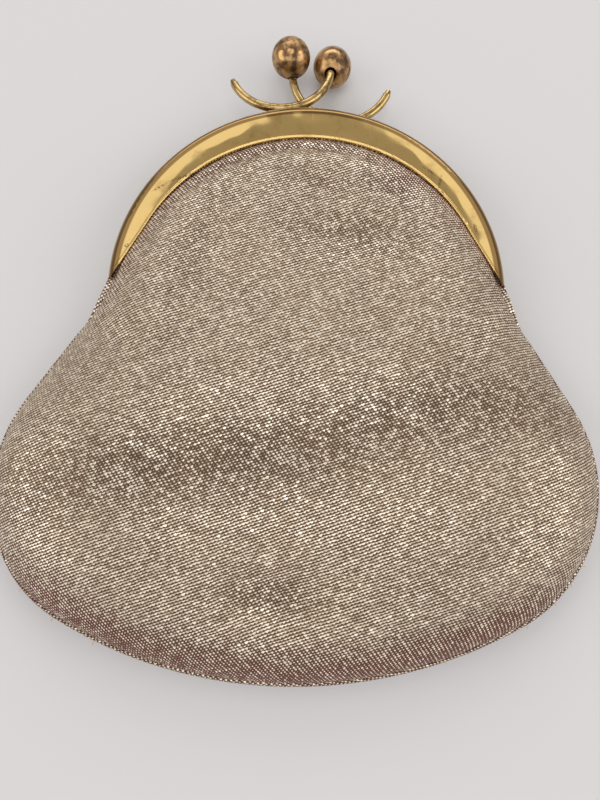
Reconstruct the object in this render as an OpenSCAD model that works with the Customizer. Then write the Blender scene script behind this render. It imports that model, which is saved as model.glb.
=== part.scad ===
// Kiss lock clutch: a half round hinged metal frame with two crossing clasp arms
// and a woven pouch. It lies on its back on the table.
// Lengths are in millimetres. X runs along the hinge line, Y towards the clasp
// and Z up from the table. The origin is at the middle of the part, on the table.

/* [Frame] */

// Outer radius of the half round frame
frame_radius = 51; // [40:0.5:70]
// Depth of one frame half, from the parting plane to its wall face
half_depth = 6.5; // [4:0.1:9]
// Thickness of the frame's metal sheet
sheet = 0.7; // [0.5:0.05:1.2]
// Radius of the rounded outer edge of the wall face
edge_round = 2; // [1:0.1:3]
// Width of the wall face at the top of the arch
band_width = 9.4; // [6:0.1:14]
// Distance the inner edge's arc centre lies below the arch centre
band_drop = 4.9; // [2:0.1:8]
// Slope of the straight inner edges near the hinges, from the Y direction
flank_angle = 28; // [15:1:40]
// Radius of the crowned wall face
crown_radius = 40; // [25:1:80]
// Radius of the rolled hem along the wall face's inner edge
hem_radius = 0.42; // [0.38:0.01:0.6]
// Height of the hem above the wall face
hem_proud = 0.2; // [0.1:0.01:0.3]
// Distance the hem reaches past the inner edge
hem_reach = 0.1; // [0.05:0.01:0.15]
// Width by which the hidden inner wall is narrower than the wall face
inner_wall_step = 3; // [1:0.1:5]
// Gap between the two closed halves
parting_gap = 0.3; // [0.1:0.05:0.6]

/* [Hinge] */

// Distance the hinge line lies below the arch centre
hinge_drop = 1.5; // [0:0.1:4]
// Radius of the round ears
ear_radius = 3; // [2:0.1:4]
// Distance the front ears' faces lie inside the rim's faces
ear_inset = 0.08; // [0.05:0.01:0.2]
// Gap between the front and back ears
ear_gap = 0.2; // [0.1:0.05:0.4]
// Gap left in the back rim round the front ear
ear_room = 0.4; // [0.2:0.1:1]
// Radius of the rivet's shank
rivet_radius = 0.85; // [0.6:0.05:1.2]
// Running gap round the shank
running_gap = 0.05; // [0.02:0.01:0.1]
// Radius of the rivet's heads
head_radius = 1.7; // [1.2:0.1:2.4]
// Height of the rivet's heads
head_height = 0.6; // [0.4:0.05:1]
// Gap under the outer rivet head
head_gap = 0.15; // [0.1:0.01:0.3]
// Height of the strap that carries the back ear
strap_height = 2.5; // [1.5:0.1:3]
// Reach of that strap past the arch centre
strap_reach = 5.6; // [4:0.1:8]
// Length of the strap's joggle, where it meets the rim
joggle_length = 2; // [1:0.1:3]

/* [Clasp] */

// Outer radius of the clasp balls
ball_radius = 5.5; // [4:0.05:8]
// Thickness of the balls' shells
ball_wall = 0.4; // [0.25:0.05:0.8]
// Distance of each ball from the clasp's axis
ball_spread = 6; // [5.5:0.05:9]
// Distance of each ball's centre past the parting plane
ball_lean = 1.65; // [0.5:0.05:4]
// Distance of the clasp's axis from the frame's axis
clasp_offset = 0.4; // [-5:0.1:5]
// Radius of the arms' wire
wire_radius = 1.15; // [0.8:0.05:1.8]
// Radius of the arms' bend
arm_radius = 14.3; // [10:0.1:20]
// Angle from the arm's foot to its plain tip
tip_angle = 65; // [30:1:80]
// Angle from the arm's foot to its straight stem
stem_angle = 83; // [50:1:90]
// Angle by which the stem dips out of the arm's plane
stem_dip = 24; // [0:1:40]
// Length of the stem up to the ball's centre
stem_length = 5.6; // [5.5:0.1:9]
// Height of the arm's foot above the parting plane
arm_rise = 2.6; // [2:0.1:5]
// Gap between the wire's underside and the top of the arch
arm_gap = 0.6; // [0:0.05:1]
// Room left round the wire in the ball's hole
hole_room = 0.65; // [0.2:0.05:1]
// Width of the brazed foot
foot_width = 13.5; // [5:0.5:16]
// Height of the brazed foot off the rim
foot_height = 1.45; // [0.5:0.05:2]
// Depth of the brazed foot
foot_depth = 2; // [1:0.1:3]
// Distance of the foot's middle from the arm's lowest point
foot_shift = 3.9; // [-4:0.1:4]

/* [Pouch] */

// Half of the pouch's greatest width
pouch_half_width = 75.5; // [60:0.5:100]
// Distance from the arch centre down to the pouch's lowest point
pouch_drop = 98; // [70:0.5:140]
// Distance from the arch centre down to the widest line
widest_drop = 50.5; // [35:0.5:70]
// Radius of the pouch's lower corners
corner_radius = 38; // [20:0.5:45]
// Half width of the pouch's shoulders, level with the hinge slits
shoulder_half_width = 56.5; // [53:0.5:70]
// Thickness of the woven cloth
cloth = 0.7; // [0.4:0.05:1.2]
// Thickness of the lining
lining = 0.4; // [0.2:0.05:0.8]
// Gap between cloth and lining
lining_gap = 0.2; // [0.05:0.01:0.3]
// Width the lining's edge is set in from the cloth's inner face
lining_set = 0.9; // [0.4:0.1:1.5]
// Height of the seam above the table
seam_height = 6.6; // [4:0.1:12]
// Width of the flat seam edge
seam_lip = 0.9; // [0.5:0.1:3]
// Width the cloth's inner face is set in from its outer face
wall_set = 1.1; // [0.7:0.1:2]
// Height of the front panel's crown above the table
crown_height = 19.5; // [15:0.5:40]
// Height the crown loses towards the arch
crown_fall = 3.6; // [0:0.1:8]
// Reach of the front panel's rolled edge along the seam
front_roll = 32; // [10:1:50]
// Reach of its rolled edge along the arch
mouth_roll = 15; // [5:1:30]
// Reach of the back panel's rolled edge
back_roll = 16; // [5:1:30]
// Gap between the front panel's edge and the front wall's inner edge
front_edge_gap = 0.45; // [0.35:0.05:1]
// Depth the back panel is tucked into the back channel
tuck = 2; // [0.5:0.1:3]
// Radius of the slit left round each hinge
slit_radius = 7.4; // [7:0.1:10]
// Distance of the slits from the frame's outer edge
slit_inset = 2.7; // [2.5:0.1:4]
// Radius of the paper cords in the channels
cord_radius = 1.4; // [0.8:0.1:2]
// Angle from the hinge line at which the paper cords start
cord_start = 22; // [20:1:40]

/* [Folds] */

// Depth of the crossways fold in the middle of the front panel
fold_depth = 1.3; // [0:0.1:3]
// Distance of that fold below the arch centre
fold_drop = 40; // [20:1:70]
// Half width of that fold
fold_half_width = 9; // [4:0.5:20]
// Depth of the dimple near the bottom
dimple_depth = 2.4; // [0:0.1:4]
// Distance of the dimple below the arch centre
dimple_drop = 78; // [60:1:90]
// Distance of the dimple from the middle line
dimple_shift = -5; // [-30:1:30]
// Half width of the dimple
dimple_half_width = 9; // [4:0.5:20]
// Depth of the dent under the arch
dent_depth = 1.4; // [0:0.1:3]
// Height of that dent above the arch centre
dent_rise = 14; // [0:1:30]
// Distance of that dent from the middle line
dent_shift = 12; // [-30:1:30]
// Half width of that dent
dent_half_width = 10; // [4:0.5:20]

/* [Hidden] */

$fn = 72;

// Steps along the pouch's outline and from its middle to its edge
bottom_steps = 4;
corner_steps = 7;
flank_steps = 3;
edge_steps = 3;
arch_steps = 8;
ring_steps = 8;

// Shape shares: how round the panels' rolled edges are, how fast the folds fade at the edges
roll_round_share = 0.6;
fold_fade_share = 4;

// Share of the widest line's drop at which the panels' rings are centred
middle_share = 0.84;

// Shares of the sheet: how far inside the wall faces the panels' edges lie, and the joggle's thickness
front_mouth_share = 1.4;
back_mouth_share = 2.15;
joggle_share = 1.7;

// Width of the dimple as a share of its height
dimple_wide_share = 1.6;

// Shares of a wire's or hem's radius: its swollen bends, and its thinner straight stretches
bend_swell_share = 1.05;
stem_thin_share = 0.95;

// Shares of the wire's radius: the tapered tip's length, and its radius at both ends
tip_length_share = 1.7;
tip_taper_shares = [0.97, 0.66];

// Height of the parting plane: the lower ball just clears the table
table_gap = parting_gap / 6;
parting_height = ball_radius + ball_lean + table_gap;
half_gap = parting_gap / 2;
hinge_y = -hinge_drop;
front_ear_x = frame_radius - ear_inset - sheet;
back_ear_x = front_ear_x - ear_gap - sheet;

// Inner edge of the wall face, where its straight line crosses its arc
bend_lead = 3;
band_radius = frame_radius - band_width + band_drop;
bend_angle = flank_angle - bend_lead;

// Clasp geometry, in the plane of an arm with the bend's centre as its origin
stem_start = [arm_radius * sin(stem_angle), -arm_radius * cos(stem_angle)];
stem_way = [cos(stem_angle), sin(stem_angle)];
ball_local = stem_start + stem_length * cos(stem_dip) * stem_way;
ball_dip = stem_length * sin(stem_dip);
arm_reach = arm_radius + ball_local[1];
arm_lean = asin((arm_rise + ball_lean) / norm([arm_reach, ball_dip])) - atan2(ball_dip, arm_reach);
arm_x = clasp_offset + ball_spread - ball_local[0];
arm_y = frame_radius + wire_radius + arm_gap;
ball_y = arm_y + arm_reach * cos(arm_lean) - ball_dip * sin(arm_lean);

// The part's middle is its origin
arch_y = (pouch_drop - ball_y - ball_radius) / 2;

// Outline of the pouch
corner_centre = [pouch_half_width - corner_radius, -widest_drop];
corner_drop = pouch_drop - widest_drop;
bottom_radius = (pow(corner_centre[0], 2) + pow(corner_drop, 2) - pow(corner_radius, 2))
    / (corner_drop - corner_radius) / 2;
bottom_centre = [0, bottom_radius - pouch_drop];
bottom_angle = atan2(corner_centre[1] - bottom_centre[1], corner_centre[0]);
slit_x = frame_radius - slit_inset;
slit_y = hinge_y - slit_radius;
shoulder = [shoulder_half_width, slit_y];
shoulder_way = shoulder - corner_centre;
flank_normal = atan2(shoulder_way[1], shoulder_way[0]) - acos(corner_radius / norm(shoulder_way));
pouch_middle = [0, -widest_drop * middle_share];

// Edge heights of the panels' outer faces
front_mouth = parting_height + half_depth - sheet * front_mouth_share;
back_mouth = parting_height - half_depth + sheet * back_mouth_share;
layers = [0, cloth, cloth + lining_gap, cloth + lining_gap + lining];
layer_sets = [0, wall_set, wall_set + lining_set, wall_set + lining_set + lining];

function arc_points(centre, radius, first, last, steps) =
    [for (k = [0:steps]) centre + radius * [cos(first + (last - first) * k / steps),
        sin(first + (last - first) * k / steps)]];

function line_points(first, last, steps) =
    [for (k = [1:steps]) first + (last - first) * k / steps];

// Inner edge of the wall face: an arc that bends into a straight line on each side
function bend_point(radius) = radius * [cos(bend_angle), sin(bend_angle)] - [0, band_drop];
function edge_x(radius, y) = bend_point(radius)[0] + (bend_point(radius)[1] - y) * tan(flank_angle);
function edge_y(radius, x) = bend_point(radius)[1] - (x - bend_point(radius)[0]) / tan(flank_angle);

// Middle line of the hem: its places at the top, the bend and the tip, and its height on the crowned face
hem_line = band_radius + hem_radius - hem_reach;
hem_top = [0, hem_line - band_drop];
hem_bend = bend_point(hem_line);
hem_tip = [frame_radius - edge_round, edge_y(hem_line, frame_radius - edge_round)];
function face_drop(p) = crown_radius - sqrt(pow(crown_radius, 2) - pow(frame_radius - edge_round - norm(p), 2));
function hem_height(p) = half_depth + hem_proud - hem_radius - face_drop(p);

// Right half of a panel's outline from the bottom to the arch: sewn points, then free ones
function sewn_half() = concat(
    arc_points(bottom_centre, bottom_radius, -90, bottom_angle, bottom_steps),
    [for (k = [1:corner_steps]) corner_centre + corner_radius
        * [cos(bottom_angle + (flank_normal - bottom_angle) * k / corner_steps),
           sin(bottom_angle + (flank_normal - bottom_angle) * k / corner_steps)]],
    line_points(corner_centre + corner_radius * [cos(flank_normal), sin(flank_normal)],
        shoulder, flank_steps));

function free_half(radius) = concat(
    [[slit_x, slit_y]],
    line_points([slit_x, slit_y], [slit_x, edge_y(radius, slit_x)], edge_steps),
    line_points([slit_x, edge_y(radius, slit_x)], bend_point(radius), edge_steps),
    [for (k = [1:arch_steps]) [0, -band_drop]
        + radius * [cos(bend_angle + (90 - bend_angle) * k / arch_steps),
                    sin(bend_angle + (90 - bend_angle) * k / arch_steps)]]);

// Whole outline, anticlockwise from the bottom; each point carries a 1 where it is sewn
function whole(radius) =
    let (sewn = [for (p = sewn_half()) [p[0], p[1], 1]],
         free = [for (p = free_half(radius)) [p[0], p[1], 0]],
         half = concat(sewn, free),
         last = len(half) - 1)
    concat(half, [for (k = [1:last - 1]) let (p = half[last - k]) [-p[0], p[1], p[2]]]);

function towards_middle(p, by) = let (q = [p[0], p[1]], way = pouch_middle - q) q + way * by / norm(way);

// Downward shift of the front panel by its folds
function bump(x, y, at_x, at_y, wide, high) = exp(-pow((x - at_x) / wide, 2) - pow((y - at_y) / high, 2));
function folds(x, y) =
    fold_depth * bump(x, y, 0, -fold_drop, pouch_half_width, fold_half_width)
    + dimple_depth * bump(x, y, dimple_shift, -dimple_drop, dimple_half_width * dimple_wide_share, dimple_half_width)
    + dent_depth * bump(x, y, dent_shift, dent_rise, dent_half_width * 2, dent_half_width);

// Height of a layer's edge: layer 0 and 1 are the cloth's faces, 2 and 3 the lining's
function front_edge(sewn, layer) =
    sewn == 0 ? front_mouth - layers[layer]
    : seam_height + [cloth, 0, lining, 0][layer];
function back_edge(sewn, layer) =
    sewn == 0 ? back_mouth + layers[layer]
    : seam_height - [cloth, 0, lining, 0][layer];

// Roll of a panel's edge: 0 at the edge, 1 beyond the roll's reach
function roll(away, reach) = pow(1 - pow(1 - min(1, away / reach), 2), roll_round_share);
function step_share(k) = sin(90 * k / ring_steps);

// Height of the front panel's outer face away from its edges
function crown_at(y) = crown_height
    - crown_fall * (1 - cos(180 * max(0, min(1, (y + fold_drop) / (fold_drop + frame_radius - band_width))))) / 2;

// One ring of points: k counts the steps out from the middle
function front_ring(edge, lips, layer, k) =
    [for (p = edge)
        let (b = towards_middle(p, lips[p[2]] + layer_sets[layer]),
             t = step_share(k),
             q = pouch_middle + t * (b - pouch_middle),
             rim = front_edge(p[2], layer),
             away = (1 - t) * norm(b - pouch_middle),
             rise = (crown_at(q[1]) - layers[layer] - rim) * roll(away, [mouth_roll, front_roll][p[2]]))
        [q[0], q[1] + arch_y, rim + rise - folds(q[0], q[1]) * (1 - pow(t, fold_fade_share))]];
function back_ring(edge, lips, layer, k) =
    [for (p = edge)
        let (b = towards_middle(p, lips[p[2]] + layer_sets[layer]),
             t = step_share(k),
             q = pouch_middle + t * (b - pouch_middle),
             rim = back_edge(p[2], layer),
             away = (1 - t) * norm(b - pouch_middle),
             fall = (rim - layers[layer]) * roll(away, back_roll))
        [q[0], q[1] + arch_y, rim - fall]];
function front_lip(edge, layer) = [for (p = edge) [p[0], p[1] + arch_y, front_edge(p[2], layer)]];
function back_lip(edge, layer) = [for (p = edge) [p[0], p[1] + arch_y, back_edge(p[2], layer)]];
function front_top(layer) = [pouch_middle[0], pouch_middle[1] + arch_y,
    crown_at(pouch_middle[1]) - layers[layer] - folds(pouch_middle[0], pouch_middle[1])];
function back_top(layer) = [pouch_middle[0], pouch_middle[1] + arch_y, layers[layer]];

// Closed skin over a chain of rings, from the middle of its upper face to the middle of its lower one
module skin(first, rings, last) {
    n = len(rings[0]);
    m = len(rings);
    points = concat([first], [for (ring = rings) each ring], [last]);
    polyhedron(points, concat(
        [for (i = [0:n - 1]) [0, 1 + (i + 1) % n, 1 + i]],
        [for (r = [0:m - 2], i = [0:n - 1]) let (a = 1 + r * n, b = a + n, j = (i + 1) % n)
            each [[a + i, a + j, b + j], [a + i, b + j, b + i]]],
        [for (i = [0:n - 1]) let (a = 1 + (m - 1) * n) [a + i, a + (i + 1) % n, 1 + m * n]]),
        convexity = 6);
}

module at_arch(height) {
    translate([0, arch_y, height]) children();
}

// Region inside the wall face's inner edge, grown by a step
module inside_edge(step) {
    radius = band_radius + step;
    low = -band_drop;
    high = bend_point(radius)[1] + sheet;
    translate([0, -band_drop]) circle(radius);
    polygon([[edge_x(radius, low), low], [edge_x(radius, high), high],
        [-edge_x(radius, high), high], [-edge_x(radius, low), low]]);
}

// Section of a half: side wall, rounded edge and crowned wall face
module half_section() {
    round_x = frame_radius - edge_round;
    round_z = half_depth - edge_round;
    translate([frame_radius - sheet, half_gap]) square([sheet, round_z - half_gap]);
    intersection() {
        translate([round_x, round_z]) difference() {
            circle(edge_round);
            circle(edge_round - sheet);
        }
        translate([round_x, round_z]) square(edge_round);
    }
    intersection() {
        translate([round_x, half_depth - crown_radius]) difference() {
            circle(crown_radius, $fn = 240);
            circle(crown_radius - sheet, $fn = 240);
        }
        translate([frame_radius - band_width - band_drop, round_z])
            square([band_width + band_drop - edge_round, edge_round]);
    }
}

// Rolled hem along the inner edge: a tilted ring over the arch and a straight rod to each tip
module edge_hem() {
    tilt = atan2(hem_height(hem_top) - hem_height(hem_bend), hem_top[1] - hem_bend[1]);
    bend = [hem_bend[0], hem_bend[1], hem_height(hem_bend)];
    tip = [hem_tip[0], hem_tip[1], hem_height(hem_tip)];
    way = tip - bend;
    translate([0, bend[1], bend[2]]) rotate([tilt, 0, 0]) translate([0, -bend[1] - band_drop, 0])
        rotate([0, 0, bend_angle]) rotate_extrude(angle = 180 - bend_angle * 2, $fn = 180)
            translate([hem_line, 0]) circle(hem_radius, $fn = 32);
    both_sides() {
        translate(bend) rotate([0, acos(way[2] / norm(way)), atan2(way[1], way[0])])
            cylinder(r = hem_radius * stem_thin_share, h = norm(way), $fn = 32);
        translate(bend) sphere(hem_radius * bend_swell_share, $fn = 32);
        translate(tip) sphere(hem_radius * bend_swell_share, $fn = 32);
    }
}

// One half of the frame without its ears, its parting plane at zero
module frame_half() {
    edge_hem();
    difference() {
        rotate_extrude(angle = 180, $fn = 180) half_section();
        linear_extrude(half_depth * 2) inside_edge(0);
    }
    translate([0, 0, half_gap]) linear_extrude(sheet) difference() {
        intersection() {
            circle(frame_radius - sheet / 2);
            translate([-frame_radius, 0]) square([frame_radius * 2, frame_radius]);
        }
        inside_edge(inner_wall_step);
    }
}

// Disc across the hinge line; x is its inner face
module hinge_disc(x, radius, thick) {
    translate([x, hinge_y, 0]) rotate([0, 90, 0]) cylinder(r = radius, h = thick);
}

module both_sides() {
    children();
    mirror([1, 0, 0]) children();
}

module front_frame() {
    color("goldenrod") at_arch(parting_height) difference() {
        union() {
            frame_half();
            both_sides() hinge_disc(front_ear_x, ear_radius, sheet);
        }
        both_sides() hinge_disc(0, rivet_radius + running_gap, frame_radius * 2);
    }
}

module back_frame() {
    color("goldenrod") at_arch(parting_height) difference() {
        union() {
            difference() {
                mirror([0, 0, 1]) frame_half();
                both_sides() hinge_disc(front_ear_x - ear_gap / 2, ear_radius + ear_room, sheet * 2);
            }
            both_sides() {
                hinge_disc(back_ear_x, ear_radius, sheet);
                translate([back_ear_x, hinge_y, -ear_radius])
                    cube([sheet, strap_reach + hinge_drop, strap_height]);
                translate([back_ear_x, strap_reach - joggle_length, -ear_radius])
                    cube([sheet * joggle_share, joggle_length, strap_height]);
            }
        }
        both_sides() hinge_disc(0, rivet_radius + running_gap, frame_radius * 2);
    }
}

// Rivet on the right: inner head, shank and domed outer head, turned about the hinge line
module hinge_rivet() {
    grip = front_ear_x + sheet + head_gap - back_ear_x;
    dome_radius = (pow(head_radius, 2) + pow(head_height, 2)) / head_height / 2;
    translate([back_ear_x, hinge_y, 0]) rotate([0, 90, 0]) rotate_extrude() {
        translate([0, -head_height]) square([head_radius, head_height]);
        translate([0, -head_height / 2]) square([rivet_radius, grip + head_height]);
        intersection() {
            translate([0, grip + head_height - dome_radius]) circle(dome_radius);
            translate([0, grip]) square([head_radius * 2, head_height]);
        }
    }
}

module right_hinge_rivet() {
    color("darkgoldenrod") at_arch(parting_height) hinge_rivet();
}

module left_hinge_rivet() {
    color("darkgoldenrod") at_arch(parting_height) mirror([1, 0, 0]) hinge_rivet();
}

// Places a child from an arm's plane into the front half
module in_arm_plane() {
    translate([arm_x, arm_y, arm_rise]) rotate([-arm_lean, 0, 0]) translate([0, arm_radius, 0]) children();
}

// Places a child with its Z along the stem and its origin at the ball's centre
module at_ball() {
    in_arm_plane() translate([ball_local[0], ball_local[1], -ball_dip])
        rotate([0, 0, stem_angle]) rotate([0, 90 + stem_dip, 0]) children();
}

module clasp_arm() {
    inner_radius = ball_radius - ball_wall;
    stem_radius = wire_radius * stem_thin_share;
    stem_end = sqrt(pow(inner_radius, 2) - pow(stem_radius, 2));
    in_arm_plane() {
        rotate([0, 0, -90 - tip_angle]) rotate_extrude(angle = tip_angle + stem_angle, $fn = 120)
            translate([arm_radius, 0]) circle(wire_radius, $fn = 40);
        rotate([0, 0, -90 - tip_angle]) translate([arm_radius, 0, 0]) rotate([90, 0, 0])
            translate([0, 0, -wire_radius / 2]) cylinder(r1 = wire_radius * tip_taper_shares[0],
                r2 = wire_radius * tip_taper_shares[1], h = wire_radius * tip_length_share, $fn = 40);
        translate([stem_start[0], stem_start[1], 0]) sphere(wire_radius * bend_swell_share, $fn = 40);
    }
    at_ball() translate([0, 0, -stem_length - wire_radius / 2])
        cylinder(r = stem_radius, h = stem_length + wire_radius / 2 + stem_end, $fn = 40);
    foot_turn = asin((arm_x + foot_shift) / frame_radius);
    foot_half_turn = asin(foot_width / frame_radius / 2);
    translate([0, 0, arm_rise - foot_depth / 2]) rotate([0, 0, 90 - foot_turn - foot_half_turn])
        rotate_extrude(angle = foot_half_turn * 2, $fn = 180)
            translate([frame_radius, 0]) square([foot_height, foot_depth]);
}

// Half of a hollow ball, its opening at the seam
module half_ball() {
    rotate_extrude() intersection() {
        difference() {
            circle(ball_radius);
            circle(ball_radius - ball_wall);
        }
        square(ball_radius);
    }
}

module ball_cap() {
    at_ball() half_ball();
}

module ball_cup() {
    at_ball() difference() {
        mirror([0, 0, 1]) half_ball();
        translate([0, 0, -ball_radius * 2]) cylinder(r = wire_radius + hole_room, h = ball_radius * 2);
    }
}

// Turns a piece of the front half's clasp into the matching piece of the back half
module on_back_half() {
    translate([clasp_offset * 2, 0, 0]) rotate([0, 180, 0]) children();
}

module front_clasp_arm() {
    color("darkkhaki") at_arch(parting_height) clasp_arm();
}

module back_clasp_arm() {
    color("darkkhaki") at_arch(parting_height) on_back_half() clasp_arm();
}

module front_ball_cap() {
    color("peru") at_arch(parting_height) ball_cap();
}

module front_ball_cup() {
    color("sienna") at_arch(parting_height) ball_cup();
}

module back_ball_cap() {
    color("peru") at_arch(parting_height) on_back_half() ball_cap();
}

module back_ball_cup() {
    color("sienna") at_arch(parting_height) on_back_half() ball_cup();
}

module paper_cord() {
    rotate([0, 0, cord_start]) rotate_extrude(angle = 180 - cord_start * 2, $fn = 120)
        translate([frame_radius - sheet - cord_radius, half_depth / 2]) circle(cord_radius, $fn = 32);
}

module front_paper_cord() {
    color("burlywood") at_arch(parting_height) paper_cord();
}

module back_paper_cord() {
    color("burlywood") at_arch(parting_height) mirror([0, 0, 1]) paper_cord();
}

// Lip widths of the panels: at free edges, then at sewn ones
front_lips = [wall_set, seam_lip];
back_lips = [tuck + wall_set, seam_lip];
front_outline = whole(band_radius - front_edge_gap);
back_outline = whole(band_radius + tuck);

module front_panel() {
    color("tan") skin(front_top(0), concat(
        [for (k = [1:ring_steps]) front_ring(front_outline, front_lips, 0, k)],
        [front_lip(front_outline, 0), front_lip(front_outline, 1)],
        [for (k = [0:ring_steps - 1]) front_ring(front_outline, front_lips, 1, ring_steps - k)]),
        front_top(1));
}

module front_lining() {
    color("wheat") skin(front_top(2), concat(
        [for (k = [1:ring_steps]) front_ring(front_outline, front_lips, 2, k)],
        [for (k = [0:ring_steps - 1]) front_ring(front_outline, front_lips, 3, ring_steps - k)]),
        front_top(3));
}

module back_panel() {
    color("tan") skin(back_top(1), concat(
        [for (k = [1:ring_steps]) back_ring(back_outline, back_lips, 1, k)],
        [back_lip(back_outline, 1), back_lip(back_outline, 0)],
        [for (k = [0:ring_steps - 1]) back_ring(back_outline, back_lips, 0, ring_steps - k)]),
        back_top(0));
}

module back_lining() {
    color("wheat") skin(back_top(3), concat(
        [for (k = [1:ring_steps]) back_ring(back_outline, back_lips, 3, k)],
        [for (k = [0:ring_steps - 1]) back_ring(back_outline, back_lips, 2, ring_steps - k)]),
        back_top(2));
}

front_frame();
back_frame();
left_hinge_rivet();
right_hinge_rivet();
front_clasp_arm();
back_clasp_arm();
front_ball_cap();
front_ball_cup();
back_ball_cap();
back_ball_cup();
front_panel();
back_panel();
front_lining();
back_lining();
front_paper_cord();
back_paper_cord();
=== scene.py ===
# Kiss lock clutch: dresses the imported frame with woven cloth, lining and metal finishes.
import math

import bpy
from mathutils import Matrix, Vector


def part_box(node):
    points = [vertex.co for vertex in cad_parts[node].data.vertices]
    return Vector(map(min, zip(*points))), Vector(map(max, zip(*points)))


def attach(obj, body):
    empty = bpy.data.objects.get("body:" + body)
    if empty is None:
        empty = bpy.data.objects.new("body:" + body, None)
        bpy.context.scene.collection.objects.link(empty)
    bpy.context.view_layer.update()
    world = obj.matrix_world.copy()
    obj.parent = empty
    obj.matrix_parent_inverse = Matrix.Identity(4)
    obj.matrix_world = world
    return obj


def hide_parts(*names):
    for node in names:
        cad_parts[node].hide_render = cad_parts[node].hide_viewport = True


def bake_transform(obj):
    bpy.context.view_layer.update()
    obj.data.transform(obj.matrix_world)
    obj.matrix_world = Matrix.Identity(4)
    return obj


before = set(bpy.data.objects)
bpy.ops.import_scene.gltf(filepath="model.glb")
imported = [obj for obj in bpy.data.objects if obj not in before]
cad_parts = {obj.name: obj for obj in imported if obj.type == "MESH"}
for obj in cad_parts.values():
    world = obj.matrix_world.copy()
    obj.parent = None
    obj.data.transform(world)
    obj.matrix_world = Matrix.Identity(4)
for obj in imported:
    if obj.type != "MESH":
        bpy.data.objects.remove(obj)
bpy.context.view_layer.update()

# Frame, in millimetres and degrees from the centre of its arch
MM = 0.001
FRAME_RADIUS = 51.0
BAND_RADIUS = 46.5
BAND_DROP = 4.9
FLANK_ANGLE = 28.0
TIP_X = 49.4
ARCH_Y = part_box("front_frame")[1][1] / MM - FRAME_RADIUS

# Outline of the pouch, from the same centre
POUCH_HALF_WIDTH = 75.5
POUCH_DROP = 98.0
WIDEST_DROP = 50.5
CORNER_RADIUS = 38.0
SHOULDER = (54.8, -6.0)
HINGE_COVER = ((52.7, -1.8), (51.95, 1.2))

# Middle of the pouch: its place, share of a seam and distance from the edge
MIDDLE = (0.0, -42.0)
MIDDLE_SEAM_SHARE = 0.5
MIDDLE_AWAY = 60.0

# Lean of the pouch to one side: share of the drop, and how soon it is full
LEAN_SHARE = 0.034
LEAN_BLEND = 12.0

# Fade of the seam towards the hinge and along the frame's leg
SEAM_FADE_FROM = -14.0
SEAM_FADE = 12.0
SEAM_HINGE_SHARE = 0.2
LEG_FADE = 8.0

# Heights of the cloth above the table, and how far in from the edge it reaches them
SEAM_HEIGHT = 6.6
SEAM_STEP = 0.3
CROWN = 19.5
CROWN_FALL = 3.6
CROWN_FALL_FROM = -40.0
CROWN_FALL_SPAN = 81.6
MOUTH_FRONT = 12.8
MOUTH_FALL = 0.75
MOUTH_FALL_SPAN = 41.0
MOUTH_BACK = 2.4
MOUTH_LIP = 2.3
MOUTH_REACH = 15.0
SEAM_REACH = 32.0
BACK_REACH = 16.0
FOLD_FADE = 14.0
ROUNDNESS = 0.6

# Sheets: thickness, the gap between them, the tuck under the frame and the edges
CLOTH = 0.5
LINING = 0.3
LINING_GAP = 0.35
LINING_INSET = 1.4
TUCK = 2.0
LINING_TUCK = 1.5
SEAM_LIP = 0.9

# Edge of the back cloth, turned over the seam: inset and rise of each ring, and its painted shade
SEAM_CURL = ((0.3, 0.4), (0.95, 0.5))
CURL_LIFT = 0.02
CURL_SHADE = 0.3
CURL_ROSE = 0.5

# Soft hollows in the front cloth: place, half sizes, turn in degrees, depth
FOLDS = (
    (0, -40, 75, 9, 9, 1.8),
    (-4, -77, 14, 7, 0, 2.8),
    (12, 13, 20, 8, -6, 1.8),
    (8, 27, 22, 4, -6, 0.8),
)

# Pucker of the front cloth along the mouth: depth, distance from the edge, middle, half sizes
PUCKER_DEPTH = 0.7
PUCKER_AWAY = 5.8
PUCKER_X = -8.0
PUCKER_WIDE = 1.5
PUCKER_LONG = 26.0

# Strips of painted shade along the bottom seam and the mouth
BOTTOM_FROM = 62.0
BOTTOM_BLEND = 22.0
BOTTOM_WIDE = 1.0
BOTTOM_FADE = 13.0
MOUTH_WIDE = 3.5
MOUTH_FADE = 4.0

# Weave of the cloth: pitches in millimetres, shift of each row as a share of a dash, degrees
ROW_PITCH = 0.69
DASH_PITCH = 0.88
ROW_SHIFT_SHARE = 0.235
ROW_ANGLE = 20.6

# Painted shade of folds and painted highlights, drawn by shrinking or closing up the dashes: place,
# half sizes, turn in degrees, share
SHADING_SPOTS = (
    (-38, -49, 30, 8, 8, 0.65),
    (0, -44, 34, 8, 9, 0.65),
    (38, -31, 22, 8, 10, 0.6),
    (58, -34, 14, 6, 0, 0.35),
    (12, 12, 17, 5, -6, 0.55),
    (8, 27, 20, 3, -6, 0.4),
    (-27, 10, 4, 22, -12, 0.25),
    (-4, -77, 9, 3.5, 0, 0.8),
    (-7, -82.5, 7, 3, 8, -0.3),
    (23, 27, 7, 4, -35, 0.35),
)
# Painted shade along the mouth and in the pucker, and the most that painted highlight closes up the
# dashes
MOUTH_SHADE_SHARE = 0.3
PUCKER_SHADE_SHARE = 0.7
BRIGHTEST_SHADING = -0.6

# Painted rosy shade and gleam, where more of the rosy ground thread is made to show: place, half
# sizes, turn in degrees, share
ROSE_SHADING_SPOTS = (
    (25, 29, 8, 5, -35, 0.7),
    (-56, -74, 8, 14, 40, 0.3),
)
MOUTH_ROSE_SHARE = 0.65

# Painted dark reflection on the frame's rolled outer edge: how far out it starts and how soon it is
# full
ROLL_START = 48.1
ROLL_BLEND = 0.4

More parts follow.
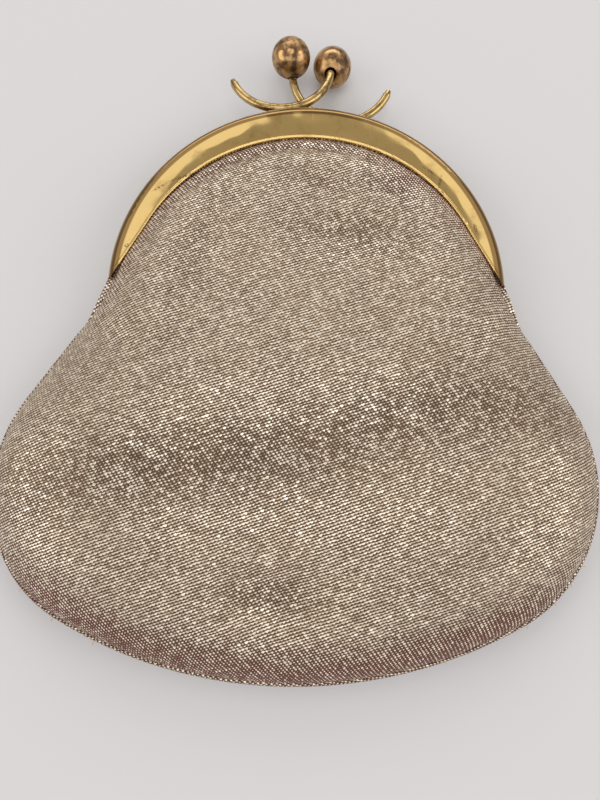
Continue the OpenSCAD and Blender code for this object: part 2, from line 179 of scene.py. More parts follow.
# Painted dark reflections on the frame's face: place, half sizes, turn in degrees
REFLECTION_MARKS = (
    (-33.2, 28.8, 5.6, 0.45, 24),
    (-39.1, 25.5, 3.0, 0.5, 33),
    (-46.5, 8.6, 0.9, 0.8, 0),
    (32.2, 31.7, 2.7, 0.4, -35),
    (34.9, 28.5, 2.9, 0.45, 78),
    (43.8, 15.2, 2.0, 0.6, -73),
)

# Loose ends of metal thread along the bottom seam: angle round the pouch, length, lean in degrees
THREAD_ENDS = (
    (207, 1.9, 12),
    (210, 1.6, -15),
    (225, 1.8, 20),
    (241, 2.0, -10),
    (247, 2.1, 8),
    (258, 1.3, -20),
    (289, 1.4, 15),
    (301, 1.9, -12),
    (313, 1.7, 10),
    (324, 1.6, -20),
    (331, 2.0, 12),
)
THREAD_RADIUS = 0.13
THREAD_ROOT = 0.8
THREAD_DROOP = 0.4

# Colours, in steps from 0 to 255
DASH_DULL = (154, 126, 94)
DASH_BRIGHT = (255, 241, 220)
DASH_PAINTED_GLINT = (255, 242, 221)
GROUND_DARK = (72, 50, 26)
GROUND_LIGHT = (84, 60, 32)
GROUND_ROSY = (92, 50, 41)
CLOTH_SHEEN = (214, 178, 146)
SATIN_DARK = (196, 176, 142)
SATIN_LIGHT = (222, 204, 172)
ROLL_REFLECTION_BROWN = (128, 98, 60)
REFLECTION_MARK_BROWN = (96, 76, 44)
PAPER_BROWN = (178, 146, 100)
PAPER_FIBRE = (206, 176, 120)
THREAD_GOLD = (232, 200, 150)

# Grain of the finishes: spots to a millimetre of cloth, or to a metre of metal and paper
ROW_WANDER_GRAIN = 0.35
DASH_WANDER_GRAIN = 1.7
SHADING_GRAIN = 0.22
FIBRE_GRAIN = 2.6
PATCH_GRAIN = 0.05
SATIN_GRAIN = (0.6, 6.0, 1.0)
SPECK_GRAIN = 1100.0
REFLECTION_MARK_GRAIN = 1600.0
SMEAR_GRAIN = (60.0, 220.0, 90.0)
SCRATCH_GRAIN = (2600.0, 90.0, 300.0)
PAPER_GRAIN = 900.0

# Turns of the smears and scratches, in radians
SMEAR_TURN = 0.6
SCRATCH_TURN = 0.9

# How far rows and dashes wander, and how deep the threads lie, in millimetres
ROW_WANDER = 0.5
DASH_WANDER = 0.16
WEAVE_DEPTH = 0.16
SATIN_DEPTH = 0.2

# Shares of what shapes a dash of the weave and brightens it, painted shade and highlights among them
STEP_SHARE = 0.3
STEP_OPEN_SHARE = 0.2
ROW_BEND_SHARE = 0.08
FIBRE_SHARE = 1.15
ODD_SHARE = 0.5
SPARK_SHADING_SHARE = 0.2
SPARK_LIFT_SHARE = 0.3
SHADING_SINK_SHARE = 0.5
ROSE_SINK_SHARE = 0.16
ROSE_CRISP_SHARE = 1.2
ROSE_GLEAM_SHARE = 0.6
FADE_SHARE = 0.25

# Ranges in the weave: where a dash and a spark begin and are full, then what each runs between
DASH_EDGE = (-0.55, 0.62)
SPARK_EDGE = (0.95, 1.0)
UNEVEN_SHADING = (0.75, 1.2)
SHINE_RANGE = (0.44, 0.96)
PLAIN_TO_ROSY_METAL = (0.75, 0.3)
GROUND_TO_DASH_ROUGHNESS = (0.7, 0.36)
SPARK_GLOSS = 0.1

# Shares of tarnish and of painted dark reflections on the metal, how soon a cloud is full, and what
# roughens it
SPECK_SHARE = 0.4
ROLL_REFLECTION_SHARE = 0.85
REFLECTION_MARK_SHARE = 0.7
CLOUD_BLEND = 0.22
SCRATCH_ROUGHNESS = 0.1
WORN_ROUGHNESS = 0.12

# Points round the outline, from its middle to its edge and on a thread: counts, and a flank pitch
BOTTOM_STEPS = 26
CORNER_STEPS = 38
FLANK_PITCH = 1.2
TIP_STEPS = 5
LEG_STEPS = 16
ARCH_STEPS = 44
RING_STEPS = 46
THREAD_SIDES = 6
THREAD_STEPS = 8

# Floor and room, in metres and linear colour
FLOOR_HALF = 2.0
FLOOR_DROP = 0.0003
FLOOR_COLOUR = (0.66, 0.66, 0.67, 1.0)
ROOM_COLOUR = (0.41, 0.38, 0.36, 1.0)

# Soft lights, in metres: place, what it faces, size and radiance
ORIGIN = (0, 0, 0)
LIGHTS = {
    "left_box": ((-0.41, 0.63, 0.88), (-0.41, 0.63, 0), (0.76, 0.64), 0.66),
    "right_box": ((0.44, 0.65, 0.88), (0.44, 0.65, 0), (0.70, 0.62), 0.66),
    "far_box": ((0.0, 1.2, 0.7), ORIGIN, (1.8, 0.55), 2.0),
    "near_box": ((0.0, -0.8, 0.9), ORIGIN, (1.6, 0.95), 0.76),
    "top_box": ((0.0, 0.0, 1.0), ORIGIN, (0.75, 0.5), 1.65),
    "left_side": ((-1.0, -0.15, 0.6), ORIGIN, (1.1, 0.85), 1.45),
    "right_side": ((1.0, -0.15, 0.6), ORIGIN, (1.1, 0.85), 1.65),
}

# Camera: millimetres from the arch centre and above the table, turns in degrees, lens
CAMERA_X = -0.27
CAMERA_Y = -61.8
CAMERA_HEIGHT = 157.41
CAMERA_TILT = 12.0
CAMERA_TURN = 1.2
CAMERA_LENS = 27.09
CAMERA_CLIP = 10.0


def smooth(value):
    """Eases from 0 to 1 as the value does, and stays there."""
    share = min(1.0, max(0.0, value))
    return share * share * (3.0 - 2.0 * share)


def mix(a, b, share):
    return a + (b - a) * share


def arc(centre, radius, first, last, steps, skip=0):
    """Points on an arc between two angles in degrees, without the first few if skip says so."""
    turns = [math.radians(first + (last - first) * k / steps) for k in range(skip, steps + 1)]
    return [(centre[0] + radius * math.cos(a), centre[1] + radius * math.sin(a)) for a in turns]


def line(first, last, steps):
    """Points from the first, which is left out, to the last."""
    shares = [k / steps for k in range(1, steps + 1)]
    return [(mix(first[0], last[0], s), mix(first[1], last[1], s)) for s in shares]


def seam_points(inset):
    """The seamed edge on the right, from the middle of the bottom up past the hinge."""
    corner = (POUCH_HALF_WIDTH - CORNER_RADIUS, -WIDEST_DROP)
    drop = POUCH_DROP - WIDEST_DROP
    bottom_radius = (corner[0] ** 2 + drop ** 2 - CORNER_RADIUS ** 2) / (drop - CORNER_RADIUS) / 2
    bottom = (0.0, bottom_radius - POUCH_DROP)
    bottom_angle = math.degrees(math.atan2(corner[1] - bottom[1], corner[0]))
    away = (SHOULDER[0] - corner[0], SHOULDER[1] - corner[1])
    span = math.hypot(*away)
    normal = math.degrees(math.atan2(away[1], away[0]) - math.acos(CORNER_RADIUS / span))
    points = arc(bottom, bottom_radius - inset, -90, bottom_angle, BOTTOM_STEPS)
    points += arc(corner, CORNER_RADIUS - inset, bottom_angle, normal, CORNER_STEPS, 1)
    for x, y in (SHOULDER,) + HINGE_COVER:
        spot = (x - inset, y)
        length = math.dist(spot, points[-1])
        points += line(points[-1], spot, max(2, round(length / FLANK_PITCH)))
    return points


def outline(seam_inset, tuck):
    """Points round a panel, anticlockwise from the bottom: x, y and how much of a seam each is."""
    seamed = seam_points(seam_inset)
    radius = BAND_RADIUS + tuck
    turn = math.radians(FLANK_ANGLE)
    bend = (radius * math.cos(turn), radius * math.sin(turn) - BAND_DROP)
    tip = (TIP_X, bend[1] - (TIP_X - bend[0]) / math.tan(turn))
    leg = line(seamed[-1], tip, TIP_STEPS) + line(tip, bend, LEG_STEPS)
    arch = arc((0.0, -BAND_DROP), radius, FLANK_ANGLE, 90, ARCH_STEPS, 1)
    half = []
    for x, y in seamed:
        faded = smooth((y - SEAM_FADE_FROM) / SEAM_FADE)
        half.append((x, y, 1.0 - (1.0 - SEAM_HINGE_SHARE) * faded))
    for x, y in leg:
        faded = smooth((y - HINGE_COVER[-1][1]) / LEG_FADE)
        half.append((x, y, SEAM_HINGE_SHARE * (1.0 - faded)))
    half += [(x, y, 0.0) for x, y in arch]
    return half + [(-x, y, s) for x, y, s in reversed(half[1:-1])]


def roll(away, reach):
    """Rounded rise from 0 at the edge to 1 at the reach."""
    return (1.0 - (1.0 - min(1.0, max(0.0, away) / reach)) ** 2) ** ROUNDNESS


def dent(x, y, at_x, at_y, wide, high, turn=0.0):
    """A soft spot: 1 in its middle, fading over its half sizes."""
    cosine = math.cos(math.radians(turn))
    sine = math.sin(math.radians(turn))
    across = ((x - at_x) * cosine + (y - at_y) * sine) / wide
    along = (-(x - at_x) * sine + (y - at_y) * cosine) / high
    return math.exp(-across * across - along * along)


def all_dents(x, y, spots):
    """Sum of soft spots, each times the last number of its row."""
    return sum(amount * dent(x, y, *spot) for *spot, amount in spots)


def at_bottom(y, seam, away):
    """Share of the strip along the bottom seam."""
    low = smooth((-y - BOTTOM_FROM) / BOTTOM_BLEND)
    return seam * low * (1.0 - smooth((away - BOTTOM_WIDE) / BOTTOM_FADE))


def at_mouth(seam, away):
    """Share of the strip along the mouth."""
    return (1.0 - seam) * (1.0 - smooth((away - MOUTH_WIDE) / MOUTH_FADE))


def in_pucker(x, seam, away):
    """Share of the pucker along the mouth."""
    return (1.0 - seam) * dent(away, x, PUCKER_AWAY, PUCKER_X, PUCKER_WIDE, PUCKER_LONG)


def painted_shading(x, y, seam, away):
    """Painted shading of the weave: at 1 its dashes shrink to dots as painted shade, below 0 they
    close up as painted highlight.
    """
    mouth = MOUTH_SHADE_SHARE * at_mouth(seam, away)
    pucker = PUCKER_SHADE_SHARE * in_pucker(x, seam, away)
    shading = at_bottom(y, seam, away) + mouth + pucker
    return max(BRIGHTEST_SHADING, min(1.0, shading + all_dents(x, y, SHADING_SPOTS)))


def rose_shading(x, y, seam, away):
    """Painted rosy shade and gleam, from 0 to 1: how much more of the rosy ground thread is made to
    show between the dashes.
    """
    strips = at_bottom(y, seam, away) + MOUTH_ROSE_SHARE * at_mouth(seam, away)
    return min(1.0, strips + all_dents(x, y, ROSE_SHADING_SPOTS))


def crown_at(y):
    """Height of the full front cloth, which falls towards the mouth."""
    share = min(1.0, max(0.0, (y - CROWN_FALL_FROM) / CROWN_FALL_SPAN))
    return CROWN - CROWN_FALL * (1.0 - math.cos(math.pi * share)) / 2


def front_height(x, y, seam, away, depth):
    """Height of the front cloth, or of a sheet that lies the depth below it."""
    lip = MOUTH_LIP * (1.0 - seam)
    mouth = MOUTH_FRONT - MOUTH_FALL * smooth(y / MOUTH_FALL_SPAN)
    rim = mix(mouth - depth, SEAM_HEIGHT + SEAM_STEP, seam)
    rise = (crown_at(y) - depth - rim) * roll(away - lip, mix(MOUTH_REACH, SEAM_REACH, seam))
    hollow = all_dents(x, y, FOLDS) * smooth((away - lip) / FOLD_FADE)
    return rim + rise - hollow - PUCKER_DEPTH * in_pucker(x, seam, away)


def back_height(x, y, seam, away, depth):
    """Height of the back cloth, or of a sheet that lies the depth above it."""
    lip = MOUTH_LIP * (1.0 - seam)
    rim = mix(MOUTH_BACK + depth, SEAM_HEIGHT, seam)
    return rim - (rim - depth) * roll(away - lip, BACK_REACH)


def panel_grid(edge, height, depth, curl=()):
    """The middle and rings of points out to the edge, then over the seam, and each point's painted
    shading.
    """
    middle_facts = (*MIDDLE, MIDDLE_SEAM_SHARE, MIDDLE_AWAY)
    middle = Vector((*MIDDLE, height(*middle_facts, depth)))
    shadings = [painted_shading(*middle_facts)]
    rose_shadings = [0.0]
    rings = []
    for k in range(1, RING_STEPS + 1):
        share = math.sin(math.pi / 2 * k / RING_STEPS)
        ring = []
        for edge_x, edge_y, seam in edge:
            x = mix(MIDDLE[0], edge_x, share)
            y = mix(MIDDLE[1], edge_y, share)
            away = (1.0 - share) * math.dist((edge_x, edge_y), MIDDLE)
            ring.append(Vector((x, y, height(x, y, seam, away, depth))))
            shadings.append(painted_shading(x, y, seam, away))
            rose_shadings.append(rose_shading(x, y, seam, away))
        rings.append(ring)
    for inset, rise in curl:
        ring = []
        for (edge_x, edge_y, seam), last in zip(edge, rings[RING_STEPS - 1]):
            way = Vector((MIDDLE[0] - edge_x, MIDDLE[1] - edge_y, 0.0)).normalized()
            lift = Vector((0, 0, mix(CURL_LIFT, rise, seam)))
            ring.append(last + way * inset * seam + lift)
            shadings.append(CURL_SHADE)
            rose_shadings.append(CURL_ROSE)
        rings.append(ring)
    return middle, rings, {"painted_shading": shadings, "rose_shading": rose_shadings}


def weave_places(middle, rings):
    """Where each point lies on the flat cloth: along its ray, as far as the cloth is long."""
    rays = [(point.xy - middle.xy).normalized() for point in rings[RING_STEPS - 1]]
    lengths = [0.0] * len(rays)
    places = [(middle.x, middle.y)]
    before = [middle] * len(rays)
    for ring in rings:
        for i, point in enumerate(ring):
            lengths[i] += (point - before[i]).length
            places.append((middle.x + rays[i].x * lengths[i], middle.y + rays[i].y * lengths[i]))
        before = ring
    return places


def in_part(point):
    """A point of the cloth in the part's own frame: the pouch lies a little to one side."""
    lean = LEAN_SHARE * min(0.0, point.y) * smooth(-point.y / LEAN_BLEND)
    return Vector(((point.x + lean) * MM, (point.y + ARCH_Y) * MM, point.z * MM))


def new_piece(name, points, faces, material):
    """A smooth shaded object with one material."""
    mesh = bpy.data.meshes.new(name)
    mesh.from_pydata(points, [], faces)
    mesh.update()
    mesh.polygons.foreach_set("use_smooth", [True] * len(mesh.polygons))
    mesh.materials.append(material)
    piece = bpy.data.objects.new(name, mesh)
    bpy.context.collection.objects.link(piece)
    return piece


def point_normals(points, faces):
    mesh = bpy.data.meshes.new("normals")
    mesh.from_pydata(points, [], faces)
    mesh.update()
    normals = [vertex.normal.copy() for vertex in mesh.vertices]
    bpy.data.meshes.remove(mesh)
    return normals


def cloth_piece(name, grid, thick, upwards, material):
    """A closed sheet of cloth over the rings; upwards says on which side its face is."""
    middle, rings, shading_facts = grid
    outer = [in_part(middle)] + [in_part(point) for ring in rings for point in ring]
    total = len(outer)
    count = len(rings[0])
    pairs = [(i, (i + 1) % count) for i in range(count)]
    faces = [(0, 1 + i, 1 + j) for i, j in pairs]
    for r in range(len(rings) - 1):
        a = 1 + r * count
        b = a + count
        faces += [(a + i, b + i, b + j, a + j) for i, j in pairs]
    last = total - count
    rim = []
    for i, j in pairs:
        a = last + i
        b = last + j
        rim.append((b, a, total + a, total + b) if upwards else (a, b, total + b, total + a))
    if not upwards:
        faces = [face[::-1] for face in faces]
    normals = point_normals(outer, faces)
    inner = [point - normal * thick * MM for point, normal in zip(outer, normals)]
    inner_faces = [tuple(total + i for i in reversed(face)) for face in faces]
    piece = new_piece(name, outer + inner, faces + inner_faces + rim, material)
    places = weave_places(middle, rings)
    layer = piece.data.uv_layers.new(name="weave")
    for loop in piece.data.loops:
        layer.data[loop.index].uv = places[loop.vertex_index % total]
    for kind, values in shading_facts.items():
        layer = piece.data.attributes.new(kind, "FLOAT", "POINT")
        layer.data.foreach_set("value", values + values)
    return piece


def thread_ends(material):
    """Short curved threads that stick out of the seam, joined in one mesh."""
    seam_line = outline(0.0, TUCK)
    points = []
    faces = []
    for turn, length, lean in THREAD_ENDS:
        aim = math.radians(turn)
        cosine = math.cos(aim)
        sine = math.sin(aim)
        way = Vector((cosine, sine, 0.0))
        side = Vector((-way.y, way.x, 0.0))
        spot = max(seam_line, key=lambda p: (p[0] - MIDDLE[0]) * cosine + (p[1] - MIDDLE[1]) * sine)
        root = Vector((spot[0], spot[1], SEAM_HEIGHT)) - way * THREAD_ROOT
        first = len(points)
        for k in range(THREAD_STEPS + 1):
            share = k / THREAD_STEPS
            bow = math.tan(math.radians(lean)) * share * share
            droop = Vector((0, 0, THREAD_DROOP)) * share * share
            middle = root + (way * share + side * bow - droop) * length
            for j in range(THREAD_SIDES):
                round_turn = 2 * math.pi * j / THREAD_SIDES
                off = side * math.cos(round_turn) + Vector((0, 0, math.sin(round_turn)))
                points.append(in_part(middle + off * THREAD_RADIUS))
        for k in range(THREAD_STEPS):
            a = first + k * THREAD_SIDES
            b = a + THREAD_SIDES
            for j in range(THREAD_SIDES):
                after = (j + 1) % THREAD_SIDES
                faces.append((a + j, a + after, b + after, b + j))
        faces.append(tuple(first + j for j in reversed(range(THREAD_SIDES))))
        faces.append(tuple(len(points) - THREAD_SIDES + j for j in range(THREAD_SIDES)))
    return new_piece("seam_thread_ends", points, faces, material)


class Nodes:
    """Short names for building a material's nodes."""

    def __init__(self, name):
        self.material = bpy.data.materials.new(name)
        self.material.use_nodes = True
        self.tree = self.material.node_tree
        self.shader = self.tree.nodes["Principled BSDF"]

    def add(self, kind, **values):
        node = self.tree.nodes.new(kind)
        for key, value in values.items():
            setattr(node, key, value)
        return node

    def put(self, socket, value):
        if hasattr(value, "is_output"):
            self.tree.links.new(value, socket)
        else:
            socket.default_value = value

    def set(self, **values):
        """Sets inputs of the shader; an underscore in a name stands for a space."""
        for key, value in values.items():
            self.put(self.shader.inputs[key.replace("_", " ")], value)

    def math(self, operation, a, b=0.0, clamp=False):
        node = self.add("ShaderNodeMath", operation=operation, use_clamp=clamp)
        self.put(node.inputs[0], a)
        self.put(node.inputs[1], b)
        return node.outputs[0]

    def plus(self, a, b, clamp=False):
        return self.math("ADD", a, b, clamp)

    def minus(self, a, b):
        return self.math("SUBTRACT", a, b)

    def times(self, a, b, clamp=False):
        return self.math("MULTIPLY", a, b, clamp)

    def wave(self, turns):
        """A wave from -1 at a whole turn to 1 at a half one."""
        return self.times(self.math("COSINE", self.times(turns, 2 * math.pi)), -1.0)

    def swing(self, value, amount):
        """A value from 0 to 1, turned into one that swings evenly round 0."""
        return self.times(self.minus(value, 0.5), amount)

    def ramp(self, value, low, high, to_low=0.0, to_high=1.0):
        node = self.add("ShaderNodeMapRange", interpolation_type="SMOOTHSTEP")
        self.put(node.inputs["Value"], value)
        node.inputs["From Min"].default_value = low
        node.inputs["From Max"].default_value = high
        node.inputs["To Min"].default_value = to_low
        node.inputs["To Max"].default_value = to_high
        return node.outputs[0]

    def mix(self, share, a, b):
        node = self.add("ShaderNodeMix", data_type="RGBA")
        self.put(node.inputs[0], share)
        self.put(node.inputs[6], a)
        self.put(node.inputs[7], b)
        return node.outputs[2]

    def noise(self, vector, scale, detail=3.0, roughness=0.5):
        node = self.add("ShaderNodeTexNoise")
        self.put(node.inputs["Vector"], vector)
        node.inputs["Scale"].default_value = scale
        node.inputs["Detail"].default_value = detail
        node.inputs["Roughness"].default_value = roughness
        return node.outputs[0]

    def stretch(self, vector, scale, turn=0.0):
        """Scales a place along each axis, then turns it about Z by radians."""
        node = self.add("ShaderNodeMapping")
        self.put(node.inputs["Vector"], vector)
        node.inputs["Scale"].default_value = scale
        node.inputs["Rotation"].default_value = (0.0, 0.0, turn)
        return node.outputs[0]

    def distance(self, a, b):
        node = self.add("ShaderNodeVectorMath", operation="DISTANCE")
        self.put(node.inputs[0], a)
        self.put(node.inputs[1], b)
        return node.outputs["Value"]

    def attribute(self, name):
        return self.add("ShaderNodeAttribute", attribute_name=name).outputs["Fac"]

    def weave_place(self):
        return self.add("ShaderNodeUVMap", uv_map="weave").outputs[0]

    def place(self):
        return self.add("ShaderNodeTexCoord").outputs["Object"]

    def bump(self, height, strength, distance):
        node = self.add("ShaderNodeBump")
        self.put(node.inputs["Height"], height)
        node.inputs["Strength"].default_value = strength
        node.inputs["Distance"].default_value = distance
        return node.outputs[0]


def linear(red, green, blue):
    """A colour given in the usual 0 to 255 steps, as the shader wants it."""
    steps = [c / 255 for c in (red, green, blue)]
    light = [c / 12.92 if c <= 0.04045 else ((c + 0.055) / 1.055) ** 2.4 for c in steps]
    return (*light, 1.0)


def weave_lattice(n, place):
    """Rows of the weave and steps along each, counted in pitches that wander a little."""
    split = n.add("ShaderNodeSeparateXYZ")
    n.put(split.inputs[0], n.stretch(place, (1.0, 1.0, 1.0), -math.radians(ROW_ANGLE)))
    along = split.outputs[0]
    across = split.outputs[1]
    slow = n.swing(n.noise(place, ROW_WANDER_GRAIN, 2.0), ROW_WANDER)
    quick = n.swing(n.noise(place, DASH_WANDER_GRAIN, 1.0), DASH_WANDER)
    rows = n.math("DIVIDE", n.plus(across, n.plus(slow, quick)), ROW_PITCH)
    places = n.math("DIVIDE", n.plus(along, quick), DASH_PITCH)
    steps = n.plus(places, n.times(n.math("FLOOR", rows), ROW_SHIFT_SHARE))
    return rows, steps


def dash_chances(n, rows, steps):
    """Three values from 0 to 1 that differ from dash to dash."""
    cell = n.add("ShaderNodeCombineXYZ")
    n.put(cell.inputs[0], n.math("FLOOR", steps))
    n.put(cell.inputs[1], n.math("FLOOR", rows))
    dice = n.add("ShaderNodeTexWhiteNoise", noise_dimensions="2D")
    n.put(dice.inputs["Vector"], cell.outputs[0])
    chances = n.add("ShaderNodeSeparateColor")
    n.put(chances.inputs[0], dice.outputs["Color"])
    return chances.outputs[0], chances.outputs[1], chances.outputs[2]


def woven_cloth(name):
    """Bright metal dashes in slanting rows on a brown ground, with painted shade and highlights that
    shrink the dashes and turn the ground rosy in places.
    """
    n = Nodes(name)
    place = n.weave_place()
    rows, steps = weave_lattice(n, place)
    size_chance, shine_chance, spark_chance = dash_chances(n, rows, steps)
    uneven = n.ramp(n.noise(place, SHADING_GRAIN), 0.3, 0.7, *UNEVEN_SHADING)
    # Painted shade and highlights of folds, edges and the mouth
    shading = n.times(n.attribute("painted_shading"), uneven)
    # Painted rosy shade of steep edges and the mouth, with painted gleam on its dashes
    rosy = n.attribute("rose_shading")

    # How far each dash stands out: waves along and across the rows, fibres and odd dashes
    step_wave = n.wave(steps)
    row_wave = n.wave(n.plus(rows, n.times(step_wave, ROW_BEND_SHARE)))
    step_share = n.plus(n.times(n.plus(shading, rosy), STEP_OPEN_SHARE), STEP_SHARE)
    waves = n.plus(row_wave, n.times(n.minus(step_wave, row_wave), step_share))
    fibre = n.swing(n.noise(place, FIBRE_GRAIN, 2.0), FIBRE_SHARE)
    odd = n.swing(size_chance, ODD_SHARE)
    # Rare near-white dashes stand for glints: their colour is a painted glint, and they also stand
    # higher and shine more
    spark = n.ramp(n.plus(spark_chance, n.times(shading, SPARK_SHADING_SHARE)), *SPARK_EDGE)
    # Painted shade shrinks the dashes, so more dark ground shows
    shading_sink = n.plus(n.times(shading, SHADING_SINK_SHARE), n.times(rosy, ROSE_SINK_SHARE))
    lift = n.minus(n.times(spark, SPARK_LIFT_SHARE), shading_sink)
    raised = n.plus(n.plus(waves, fibre), n.plus(odd, lift))
    crisp = n.times(raised, n.plus(n.times(rosy, ROSE_CRISP_SHARE), 1.0))
    dash = n.ramp(crisp, *DASH_EDGE)

    # Colours of the dashes and of the ground between them
    # Painted shade dulls the dashes, and painted gleam brightens them in the rosy shade
    fade = n.times(n.math("MAXIMUM", shading, 0.0), n.ramp(size_chance, 0.75, 0.25))
    gleam = n.minus(n.times(rosy, ROSE_GLEAM_SHARE), n.times(fade, FADE_SHARE))
    shine = n.plus(n.ramp(shine_chance, 0.0, 1.0, *SHINE_RANGE), gleam, clamp=True)
    plain_dash = n.mix(shine, linear(*DASH_DULL), linear(*DASH_BRIGHT))
    # Painted glint colour on the rare sparkling dashes
    bright = n.mix(spark, plain_dash, linear(*DASH_PAINTED_GLINT))
    patch = n.ramp(n.noise(place, PATCH_GRAIN), 0.35, 0.65)
    brown = n.mix(patch, linear(*GROUND_DARK), linear(*GROUND_LIGHT))
    # Painted rosy shade on the ground between the dashes
    ground = n.mix(rosy, brown, linear(*GROUND_ROSY))
    metal = n.ramp(rosy, 0.0, 1.0, *PLAIN_TO_ROSY_METAL)
    matt = n.ramp(dash, 0.0, 1.0, *GROUND_TO_DASH_ROUGHNESS)
    n.set(
        Base_Color=n.mix(dash, ground, bright),
        Metallic=n.times(dash, metal),
        Roughness=n.minus(matt, n.times(spark, SPARK_GLOSS)),
        Normal=n.bump(dash, 0.8, WEAVE_DEPTH * MM),
        Sheen_Weight=0.15,
        Sheen_Tint=linear(*CLOTH_SHEEN),
    )
    return n.material


def lining_cloth(name):
    """Plain satin with fine threads across the pouch."""
    n = Nodes(name)
    fine = n.noise(n.stretch(n.weave_place(), SATIN_GRAIN), 1.0)
    n.set(
        Base_Color=n.mix(n.ramp(fine, 0.3, 0.7), linear(*SATIN_DARK), linear(*SATIN_LIGHT)),
        Roughness=0.42,
        Sheen_Weight=0.2,
        Normal=n.bump(fine, 0.2, SATIN_DEPTH * MM),
    )
    return n.material


def roll_reflection(n, flat_place):
    """Where a dark reflection is painted on the frame's rolled outer edge, from 0 to 1."""
    radius = n.distance(flat_place, (0.0, ARCH_Y * MM, 0.0))
    return n.ramp(radius, ROLL_START * MM, (ROLL_START + ROLL_BLEND) * MM)


def reflection_marks(n, place, flat_place):
    """Painted dark reflections on the frame's face, from 0 to 1."""
    total = 0.0
    for x, y, long, wide, turn in REFLECTION_MARKS:
        shift = n.add("ShaderNodeMapping", vector_type="TEXTURE")
        n.put(shift.inputs["Vector"], flat_place)
        shift.inputs["Location"].default_value = (x * MM, (y + ARCH_Y) * MM, 0.0)
        shift.inputs["Rotation"].default_value = (0.0, 0.0, math.radians(turn))
        shift.inputs["Scale"].default_value = (long * MM, wide * MM, 1.0)
        away = n.distance(shift.outputs[0], (0.0, 0.0, 0.0))
        total = n.plus(total, n.ramp(away, 1.0, 0.4))
    broken = n.ramp(n.noise(place, REFLECTION_MARK_GRAIN), 0.35, 0.6)
    return n.times(total, broken, clamp=True)


def gold(name, light, dark, cloud_size, cloud_low, cloud_share, roughness, wave_size, wave,
         framed=False):
    """Gilt metal with tarnish clouds, smears and scratches, and on a frame painted dark reflections
    on its outer edge and face; sizes and the wave in millimetres.
    """
    n = Nodes(name)
    place = n.place()
    cloud = n.noise(place, 1.0 / (cloud_size * MM), 6.0, 0.65)
    smear = n.noise(n.stretch(place, SMEAR_GRAIN, SMEAR_TURN), 1.0, 4.0)
    scratch = n.noise(n.stretch(place, SCRATCH_GRAIN, SCRATCH_TURN), 1.0, 2.0)
    speck = n.ramp(n.noise(place, SPECK_GRAIN, 2.0), 0.7, 0.78)
    clouded = n.times(n.ramp(cloud, cloud_low, cloud_low + CLOUD_BLEND), cloud_share)
    worn = n.plus(clouded, n.times(speck, SPECK_SHARE), clamp=True)
    colour = n.mix(worn, linear(*light), linear(*dark))
    if framed:
        flat_place = n.stretch(place, (1.0, 1.0, 0.0))
        # Painted dark reflection along the rolled outer edge
        rolled = n.times(roll_reflection(n, flat_place), ROLL_REFLECTION_SHARE)
        # Painted dark reflections on the face
        painted_reflections = n.times(reflection_marks(n, place, flat_place), REFLECTION_MARK_SHARE)
        colour = n.mix(rolled, colour, linear(*ROLL_REFLECTION_BROWN))
        colour = n.mix(painted_reflections, colour, linear(*REFLECTION_MARK_BROWN))
    smeared = n.ramp(smear, 0.35, 0.75, roughness * 0.6, roughness * 1.6)
    rough = n.plus(smeared, n.ramp(scratch, 0.66, 0.74, 0.0, SCRATCH_ROUGHNESS))
    n.set(
        Base_Color=colour,
        Metallic=1.0,
        Roughness=n.plus(rough, n.times(worn, WORN_ROUGHNESS)),
        Normal=n.bump(n.noise(place, 1.0 / (wave_size * MM), 2.0), 1.0, wave * MM),
    )
    return n.material


def twisted_paper(name):
    n = Nodes(name)
    grain = n.ramp(n.noise(n.place(), PAPER_GRAIN), 0.3, 0.7)
    n.set(
        Base_Color=n.mix(grain, linear(*PAPER_BROWN), linear(*PAPER_FIBRE)),
        Roughness=0.85,
    )
    return n.material


def even_finish(name, colour, roughness, metallic=0.0):
    """One even finish, for threads and the floor."""
    n = Nodes(name)
    n.set(Base_Color=colour, Roughness=roughness, Metallic=metallic)
    return n.material


def soft_light(name, place, aim, size, radiance):
    """An oval light of even brightness, whatever its size."""
    lamp = bpy.data.lights.new(name, "AREA")
    lamp.shape = "ELLIPSE"
    lamp.size, lamp.size_y = size
    lamp.energy = radiance * math.pi * math.pi / 4 * size[0] * size[1]
    holder = bpy.data.objects.new(name, lamp)
    holder.location = place
    holder.rotation_euler = (Vector(aim) - Vector(place)).to_track_quat("-Z", "Y").to_euler()
    bpy.context.collection.objects.link(holder)


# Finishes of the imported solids
frame_gold = gold(
    "frame_gold", (230, 198, 130), (168, 134, 80), cloud_size=7.0, cloud_low=0.5, cloud_share=0.5,
    roughness=0.09, wave_size=22.0, wave=0.6, framed=True,
)
wire_gold = gold(
    "wire_gold", (190, 162, 108), (104, 80, 52), cloud_size=3.0, cloud_low=0.46, cloud_share=0.9,
    roughness=0.18, wave_size=4.0, wave=0.1,
)
ball_gold = gold(
    "ball_gold", (196, 156, 108), (88, 68, 52), cloud_size=2.6, cloud_low=0.42, cloud_share=0.95,
    roughness=0.27, wave_size=3.0, wave=0.08,
)
rivet_gold = gold(
    "rivet_gold", (196, 160, 100), (130, 100, 60), cloud_size=3.0, cloud_low=0.46, cloud_share=0.8,
    roughness=0.3, wave_size=4.0, wave=0.0,
)
paper = twisted_paper("paper_cord")
finishes = {
    "front_frame": frame_gold,
    "back_frame": frame_gold,
    "front_clasp_arm": wire_gold,
    "back_clasp_arm": wire_gold,
    "front_ball_cap": ball_gold,
    "front_ball_cup": ball_gold,
    "back_ball_cap": ball_gold,
    "back_ball_cup": ball_gold,
    "left_hinge_rivet": rivet_gold,
    "right_hinge_rivet": rivet_gold,
    "front_paper_cord": paper,
    "back_paper_cord": paper,
}
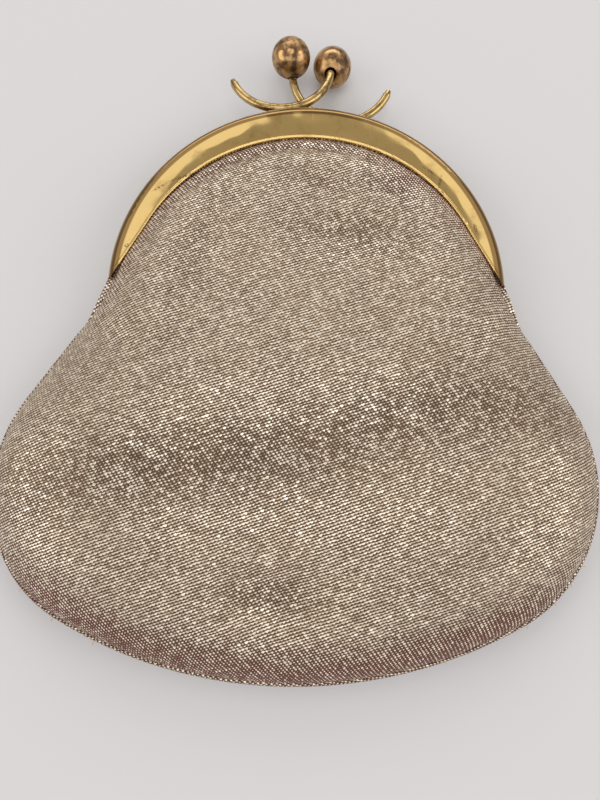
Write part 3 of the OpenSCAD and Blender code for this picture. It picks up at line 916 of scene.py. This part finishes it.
for node, finish in finishes.items():
    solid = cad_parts[node]
    solid.data.materials.clear()
    solid.data.materials.append(finish)

# Cloth panels and linings
weave = woven_cloth("metallic_weave")
satin = lining_cloth("satin_lining")
front_edge = outline(SEAM_LIP, TUCK)
back_edge = outline(0.0, TUCK)
lining_edge = outline(SEAM_LIP + LINING_INSET, LINING_TUCK)
depth = CLOTH + LINING_GAP
front_grid = panel_grid(front_edge, front_height, 0.0)
back_grid = panel_grid(back_edge, back_height, 0.0, SEAM_CURL)
front_satin_grid = panel_grid(lining_edge, front_height, depth)
back_satin_grid = panel_grid(lining_edge, back_height, depth)
front_cloth = cloth_piece("front_cloth", front_grid, CLOTH, True, weave)
back_cloth = cloth_piece("back_cloth", back_grid, CLOTH, False, weave)
front_satin = cloth_piece("front_satin", front_satin_grid, LINING, True, satin)
back_satin = cloth_piece("back_satin", back_satin_grid, LINING, False, satin)

# Loose thread ends
thread = even_finish("metal_thread", linear(*THREAD_GOLD), roughness=0.35, metallic=0.7)
ends = thread_ends(thread)
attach(ends, "back_half")

# What each sheet stands for and how it moves
sheets = (
    (front_cloth, "front_panel", "woven_cloth"),
    (back_cloth, "back_panel", "woven_cloth"),
    (front_satin, "front_lining", "lining_cloth"),
    (back_satin, "back_lining", "lining_cloth"),
)
for piece, node, slot in sheets:
    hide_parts(node)
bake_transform(front_cloth)
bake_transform(front_satin)
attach(back_cloth, "back_half")
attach(back_satin, "back_half")

# Floor, lights and camera
floor_signs = ((-1, -1), (1, -1), (1, 1), (-1, 1))
floor_points = [(x * FLOOR_HALF, y * FLOOR_HALF, 0.0) for x, y in floor_signs]
pale = even_finish("pale_floor", FLOOR_COLOUR, roughness=0.8)
floor = new_piece("floor", floor_points, [(0, 1, 2, 3)], pale)
floor.location.z = -FLOOR_DROP

for name, (place, aim, size, radiance) in LIGHTS.items():
    soft_light(name, place, aim, size, radiance)

world = bpy.data.worlds.new("room")
bpy.context.scene.world = world
world.use_nodes = True
world.node_tree.nodes["Background"].inputs["Color"].default_value = ROOM_COLOUR
world.node_tree.nodes["Background"].inputs["Strength"].default_value = 1.0

camera_data = bpy.data.cameras.new("camera")
camera_data.lens = CAMERA_LENS
camera_data.clip_start = CAMERA_CLIP * MM
camera = bpy.data.objects.new("camera", camera_data)
camera.location = (CAMERA_X * MM, (CAMERA_Y + ARCH_Y) * MM, CAMERA_HEIGHT * MM)
camera.rotation_euler = (math.radians(CAMERA_TILT), 0.0, math.radians(CAMERA_TURN))
bpy.context.collection.objects.link(camera)
bpy.context.scene.camera = camera
bpy.context.scene.view_settings.view_transform = "Standard"
